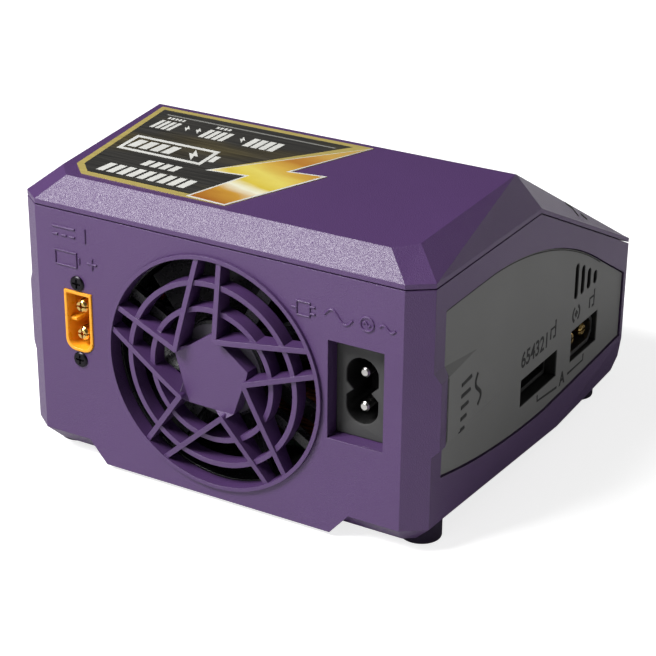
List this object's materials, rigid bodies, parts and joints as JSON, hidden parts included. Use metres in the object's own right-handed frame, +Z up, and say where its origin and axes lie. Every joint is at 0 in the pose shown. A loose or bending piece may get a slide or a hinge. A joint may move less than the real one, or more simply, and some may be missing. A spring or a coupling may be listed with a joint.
{
  "type": "balance battery charger",
  "caption": "Bench battery charger with a faceted sloping case, a guarded rear fan, rear power inlets and an output and balance port on each side.",
  "frame": {"origin": "centre of the overall box at the level of the feet's soles", "axes": "+Z up; +Y out of the rear face with the fan and inlets; -Y to the sloped display side; channel A's ports face -X"},
  "size_m": [0.1144, 0.1228, 0.077],
  "materials": {
    "shell_purple": "fine texture, satin",
    "panel_grey": "fine texture, matte",
    "fan_black": "satin",
    "connector_yellow": "satin",
    "connector_black": "satin",
    "connector_white": "satin",
    "gold_contact": "plated",
    "nickel_contact": "plated",
    "screw_black": "black oxide",
    "steel": "machined",
    "bearing_bronze": "machined",
    "copper_winding": "enamelled",
    "board_green": "solder mask",
    "aluminium": "extruded",
    "component_black": "moulded",
    "capacitor_sleeve": "sleeve",
    "ferrite": "matte",
    "label_grey": "satin film",
    "sticker_print": "brushed film",
    "window": "clear lens, dark behind",
    "screen": "unlit screen",
    "control_black": "satin",
    "foot_rubber": "matte",
    "lead_red": "insulated",
    "lead_black": "insulated",
    "lead_brown": "insulated",
    "lead_blue": "insulated"
  },
  "bodies": {
    "charger": {"base_shell": "shell_purple", "top_cover": "shell_purple", "side_panel_a": "panel_grey", "side_panel_b": "panel_grey", "output_socket_a": "connector_black", "output_socket_b": "connector_black", "output_pins_a": "gold_contact", "output_pins_b": "gold_contact", "balance_socket_a": "connector_black", "balance_socket_b": "connector_black", "balance_pins_a": "nickel_contact", "balance_pins_b": "nickel_contact", "fan_grille": "shell_purple", "fan_frame": "fan_black", "fan_bearing": "bearing_bronze", "fan_stator": "copper_winding", "fan_label": "label_grey", "fan_screws": "screw_black", "dc_inlet_housing": "connector_yellow", "dc_inlet_pins": "gold_contact", "dc_inlet_screws": "screw_black", "ac_inlet_body": "connector_black", "ac_inlet_pins": "nickel_contact", "power_board": "board_green", "output_board": "board_green", "transformer_core": "ferrite", "transformer_coil": "copper_winding", "bulk_capacitors": "capacitor_sleeve", "power_heat_sink": "aluminium", "power_transistors": "component_black", "toroid_inductors": "copper_winding", "output_heat_sink": "aluminium", "output_capacitors": "capacitor_sleeve", "buzzer": "component_black", "fan_plug": "connector_white", "usb_socket": "steel", "usb_tongue": "component_black", "board_spacers": "steel", "board_screws": "steel", "cover_screws": "screw_black", "jog_wheel_axle": "steel", "jog_wheel_bracket": "steel", "jog_wheel_encoder": "component_black", "display_window": "window", "display_module": "screen", "display_board": "board_green", "button_switches": "component_black", "rubber_feet": "foot_rubber", "top_sticker": "sticker_print", "fan_lead_red": "lead_red", "fan_lead_black": "lead_black", "dc_lead_red": "lead_red", "dc_lead_black": "lead_black", "ac_lead_live": "lead_brown", "ac_lead_neutral": "lead_blue"},
    "fan_rotor": {"fan_rotor": "fan_black", "fan_shaft": "steel"},
    "jog_wheel": {"jog_wheel": "control_black"},
    "channel_button": {"channel_button": "control_black"},
    "back_button": {"back_button": "control_black"}
  },
  "joints": [
    {"name": "fan_spin", "type": "hinge", "parent": "charger", "child": "fan_rotor", "pos_m": [0, 0.0466, 0.034], "axis": [0, 1, 0], "continuous": true},
    {"name": "jog_wheel_turn", "type": "hinge", "parent": "charger", "child": "jog_wheel", "pos_m": [0, -0.04576, 0.04181], "axis": [1, 0, 0], "continuous": true},
    {"name": "channel_button_press", "type": "slide", "parent": "charger", "child": "channel_button", "axis": [0, 0.4959, -0.8684], "range_m": [0, 0.0006], "stiffness_N_per_m": 500, "springref_m": -0.001},
    {"name": "back_button_press", "type": "slide", "parent": "charger", "child": "back_button", "axis": [0, 0.4959, -0.8684], "range_m": [0, 0.0006], "stiffness_N_per_m": 500, "springref_m": -0.001}
  ]
}
